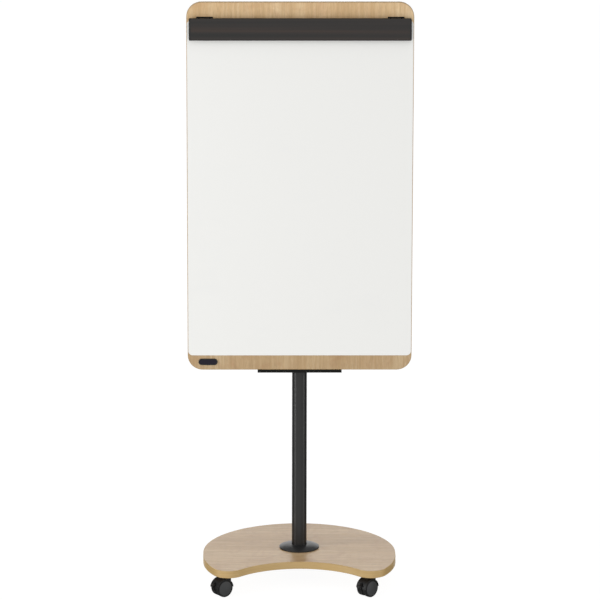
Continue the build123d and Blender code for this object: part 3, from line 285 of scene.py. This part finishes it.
def zinc():
    """Bright zinc plating with a blotchy sheen and fine turning marks."""
    look = Look("zinc_steel")
    cloud = look.noise(160.0, detail=4.0)
    marks = look.noise(1.0, look.stretched((300.0, 2500.0, 2500.0)), detail=2.0)
    rounded, edge = look.edges(0.0003)
    body = look.mix(look.between(cloud, 0.1, 0.9), tone(150, 152, 152), tone(196, 195, 188))
    look.set(Base_Color=look.mix(edge, body, tone(214, 214, 210)), Metallic=1.0)
    look.set(Roughness=look.between(cloud, 0.26, 0.46))
    look.bump(marks, 0.2, 0.00005, rounded)
    return look


def anodised():
    """Extruded aluminium, silver anodised, with faint draw lines along its length."""
    look = Look("bare_aluminium")
    lines = look.noise(1.0, look.stretched((6.0, 1500.0, 1500.0)), detail=3.0)
    cloud = look.noise(25.0)
    rounded, edge = look.edges(0.0003)
    body = look.mix(look.between(lines, 0.0, 1.0), tone(176, 177, 178), tone(198, 199, 200))
    look.set(Base_Color=look.mix(look.math("MULTIPLY", edge, 0.5), body, tone(222, 222, 222)), Metallic=1.0)
    look.set(Roughness=look.between(cloud, 0.34, 0.48))
    look.bump(lines, 0.15, 0.00005, rounded)
    return look


anthracite = powder_coat("anthracite_steel", tone(36, 36, 36), tone(70, 69, 67), 0.33, 2600.0, 0.38)
black_steel = powder_coat("dark_steel", tone(15, 15, 14), tone(52, 51, 49), 0.5, 2200.0, 0.14)
dress(anthracite, "post_tube", "foot_cover")
dress(clamp_lacquer(), "clamp_bar")
dress(
    black_steel,
    "foot_counter_plate",
    "post_foot",
    "board_bracket",
    "saddle_lower",
    "saddle_upper",
    "hinge_bracket_left",
    "hinge_bracket_right",
)
dress(
    zinc(),
    "foot_bolts",
    "foot_grub_screws",
    "saddle_bolts",
    "saddle_nuts",
    "bracket_screws",
    "panel_screws",
    "hinge_pins",
    "clamp_springs",
    "caster_inserts",
    "caster_stems",
    *[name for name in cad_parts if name.endswith("_axle")],
)
dress(anodised(), "hook_rail")


# ---------------------------------------------------------------- writing panel

def lacquer():
    """White lacquered steel: almost smooth, with faint wiped haze from years of markers, and painted shade
    greying its edges.
    """
    look = Look("white_lacquer")
    haze = look.noise(1.0, look.stretched((5.0, 5.0, 3.0)), detail=5.0, roughness=0.6, distortion=0.6)
    wiped = look.noise(1.0, look.stretched((2.5, 2.5, 9.0)), detail=4.0, roughness=0.6)
    ghosts = look.ramp(look.math("MULTIPLY", haze, wiped), [(0.3, 0.0), (0.42, 1.0)])
    rounded, edge = look.edges(0.0004)
    body = look.mix(look.math("MULTIPLY", ghosts, 0.15), tone(246, 246, 243), tone(238, 239, 238))
    # painted shade: the panel's edges are painted greyer
    look.set(Base_Color=look.mix(look.math("MULTIPLY", edge, 0.4), body, tone(205, 205, 203)))
    look.set(Roughness=look.between(wiped, 0.26, 0.36), Specular_IOR_Level=0.4)
    look.bump(look.noise(420.0, detail=1.0), 0.05, 0.00008, rounded)
    return look


dress(lacquer(), "writing_panel")


# ---------------------------------------------------------------- plastic and rubber

def moulded(name, colour, roughness, grain, highlight):
    """Moulded plastic: a fine spark-eroded grain and slightly polished edges."""
    look = Look(name)
    texture = look.noise(grain, detail=2.0, roughness=0.6)
    cloud = look.noise(35.0, detail=3.0)
    rounded, edge = look.edges(0.0005)
    body = look.mix(look.between(cloud, 0.0, 0.7), colour, tuple(1.3 * c for c in colour))
    look.set(Base_Color=look.mix(look.math("MULTIPLY", edge, 0.5), body, highlight))
    look.set(Roughness=look.between(cloud, roughness - 0.05, roughness + 0.1), Specular_IOR_Level=0.4)
    look.bump(texture, 0.35, 0.00012, rounded)
    return look


def rubber(name, colour, dust, amount):
    """Soft black rubber, dusted grey where it meets the floor or paper."""
    look = Look(name)
    speckle = look.noise(700.0, detail=2.0)
    settled = look.ramp(look.noise(90.0, detail=5.0, roughness=0.7), [(0.45, 0.0), (0.7, 1.0)])
    rounded, edge = look.edges(0.0005)
    body = look.mix(look.math("MULTIPLY", settled, amount), colour, dust)
    look.set(Base_Color=look.mix(look.math("MULTIPLY", edge, 0.3), body, dust))
    look.set(Roughness=look.between(speckle, 0.6, 0.8), Specular_IOR_Level=0.3)
    look.bump(speckle, 0.3, 0.0001, rounded)
    return look


def badge_face():
    """Blank domed face of the badge: glossy, with a faint metallic fleck."""
    look = Look("badge_gloss")
    fleck = look.noise(3500.0, detail=1.0)
    cloud = look.noise(60.0)
    body = look.mix(look.between(fleck, 0.0, 1.0), tone(12, 8, 15), tone(42, 33, 50))
    look.set(Base_Color=body, Roughness=look.between(cloud, 0.2, 0.32), Specular_IOR_Level=0.2)
    look.bump(look.noise(45.0), 0.1, 0.0003)
    return look


black_plastic = moulded("black_plastic", tone(24, 24, 24), 0.42, 1800.0, tone(62, 62, 62))
wheel_plastic = moulded("grey_plastic", tone(54, 55, 56), 0.45, 1500.0, tone(84, 85, 86))
dress(
    black_plastic,
    "post_cap",
    "badge_plate",
    "clamp_end_cap_left",
    "clamp_end_cap_right",
    "pad_hook_left",
    "pad_hook_right",
    *[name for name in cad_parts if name.endswith(("_hood", "_brake"))],
)
dress(wheel_plastic, *[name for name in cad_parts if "_wheel_" in name])
dress(
    rubber("caster_tread", tone(16, 16, 16), tone(62, 60, 57), 0.25),
    *[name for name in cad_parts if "_tyre_" in name],
)
dress(rubber("black_rubber", tone(22, 22, 22), tone(70, 69, 67), 0.2), "clamp_grip_strip")
dress(badge_face(), "badge_insert")


# ---------------------------------------------------------------- floor and light

# strengths of the room's parts, and sizes of the stage
FRONT_WALL = 0.87
SIDES = 0.03
PAPER = 1.5
CEILING = 0.6
FLOOR_GLOW = 0.35
FLOOR_HALF = 40.0
BACKDROP_RADIUS = 50.0


def camera_only(piece):
    """Keeps a stage piece out of the lighting, which the softboxes and the world give."""
    piece.visible_diffuse = False
    piece.visible_glossy = False
    piece.visible_shadow = False
    bpy.context.scene.collection.objects.link(piece)


def floor():
    """Wide white studio floor that glows a little, so that only a faint shadow shows on it."""
    look = Look("studio_floor")
    cloud = look.noise(0.8, detail=2.0)
    look.set(Base_Color=look.mix(cloud, tone(96, 96, 96), tone(100, 100, 100)), Roughness=0.8)
    look.set(Specular_IOR_Level=0.0, Emission_Color=(1.0, 1.0, 1.0, 1.0), Emission_Strength=0.95)
    corners = [(x * FLOOR_HALF, y * FLOOR_HALF, 0) for x, y in ((-1, -1), (1, -1), (1, 1), (-1, 1))]
    mesh = bpy.data.meshes.new("studio_floor")
    mesh.from_pydata(corners, [], [(0, 1, 2, 3)])
    mesh.materials.append(look.material)
    camera_only(bpy.data.objects.new("studio_floor", mesh))


def backdrop():
    """White cyclorama all round."""
    look = Look("studio_backdrop")
    cloud = look.noise(0.05, detail=1.0)
    look.set(Base_Color=(0.0, 0.0, 0.0, 1.0), Specular_IOR_Level=0.0, Emission_Strength=1.02)
    look.set(Emission_Color=look.mix(cloud, (1.0, 1.0, 1.0), (0.99, 0.99, 0.99)))
    mesh = bpy.data.meshes.new("studio_backdrop")
    shape = bmesh.new()
    bmesh.ops.create_icosphere(shape, subdivisions=4, radius=BACKDROP_RADIUS)
    shape.to_mesh(mesh)
    shape.free()
    mesh.materials.append(look.material)
    camera_only(bpy.data.objects.new("studio_backdrop", mesh))


def softbox(name, azimuth, distance, width, bottom, top, radiance):
    """Upright soft light; azimuth 0 is in front, positive to the right.

    A bottom below the floor stands for the light's reflection in the floor.
    """
    light = bpy.data.lights.new(name, "AREA")
    light.shape = "RECTANGLE"
    light.size = width
    light.size_y = top - bottom
    light.energy = radiance * pi * width * (top - bottom)
    lamp = bpy.data.objects.new(name, light)
    turn = radians(azimuth)
    height = (bottom + top) / 2
    lamp.location = (distance * sin(turn), -distance * cos(turn), height)
    inwards = Vector((-sin(turn), cos(turn), 0))
    lamp.rotation_euler = inwards.to_track_quat("-Z", "Y").to_euler()
    bpy.context.scene.collection.objects.link(lamp)


def studio_world():
    """Room light by direction: bright in front and above, white paper straight behind, dark sides."""
    world = bpy.data.worlds.new("studio")
    world.use_nodes = True
    tree = world.node_tree
    coords = tree.nodes.new("ShaderNodeTexCoord")
    split = tree.nodes.new("ShaderNodeSeparateXYZ")
    tree.links.new(coords.outputs["Generated"], split.inputs["Vector"])

    def share(axis, start, end, low, high):
        """A strength that goes from low to high as the direction's part along an axis goes start to end."""
        node = tree.nodes.new("ShaderNodeMapRange")
        node.interpolation_type = "SMOOTHSTEP"
        tree.links.new(split.outputs[axis], node.inputs["Value"])
        for key, value in (("From Min", start), ("From Max", end), ("To Min", low), ("To Max", high)):
            node.inputs[key].default_value = value
        return node.outputs["Result"]

    def total(a, b):
        node = tree.nodes.new("ShaderNodeMath")
        tree.links.new(a, node.inputs[0])
        tree.links.new(b, node.inputs[1])
        return node.outputs[0]

    front = share("Y", -0.25, -0.85, SIDES, FRONT_WALL)
    paper = share("Y", 0.82, 0.92, 0.0, PAPER)
    ceiling = share("Z", 0.4, 0.9, 0.0, CEILING)
    glow = share("Z", -0.4, -0.9, 0.0, FLOOR_GLOW)
    background = tree.nodes["Background"]
    background.inputs["Color"].default_value = (1.0, 1.0, 1.0, 1.0)
    tree.links.new(total(total(front, paper), total(ceiling, glow)), background.inputs["Strength"])
    bpy.context.scene.world = world


floor()
backdrop()
studio_world()
softbox("key_left", azimuth=-70.0, distance=4.5, width=0.9, bottom=-1.2, top=3.8, radiance=7.5)
softbox("fill_right", azimuth=72.0, distance=7.0, width=1.4, bottom=-2.0, top=3.6, radiance=4.4)


# ---------------------------------------------------------------- camera

def photo_camera():
    """Long lens from above, nearly straight on; the heading is turned a little off the azimuth to centre."""
    azimuth = radians(-0.5)
    heading = radians(-0.505)
    pitch = radians(14.14)
    roll = radians(0.11)
    distance = 14.0
    height = 4.490
    right = Vector((cos(heading), sin(heading), 0))
    forward = Vector((-sin(heading) * cos(pitch), cos(heading) * cos(pitch), -sin(pitch)))
    up = right.cross(forward)
    tilted = right * cos(roll) + up * sin(roll)
    camera = bpy.data.cameras.new("photo")
    camera.lens = 258.4
    camera.sensor_width = 36.0
    camera.clip_end = 200.0
    holder = bpy.data.objects.new("photo", camera)
    axes = Matrix((tilted, tilted.cross(forward), -forward)).transposed()
    place = Vector((distance * sin(azimuth), -distance * cos(azimuth), height))
    holder.matrix_world = Matrix.Translation(place) @ axes.to_4x4()
    bpy.context.scene.collection.objects.link(holder)
    bpy.context.scene.camera = holder


photo_camera()
bpy.context.scene.view_settings.view_transform = "Standard"
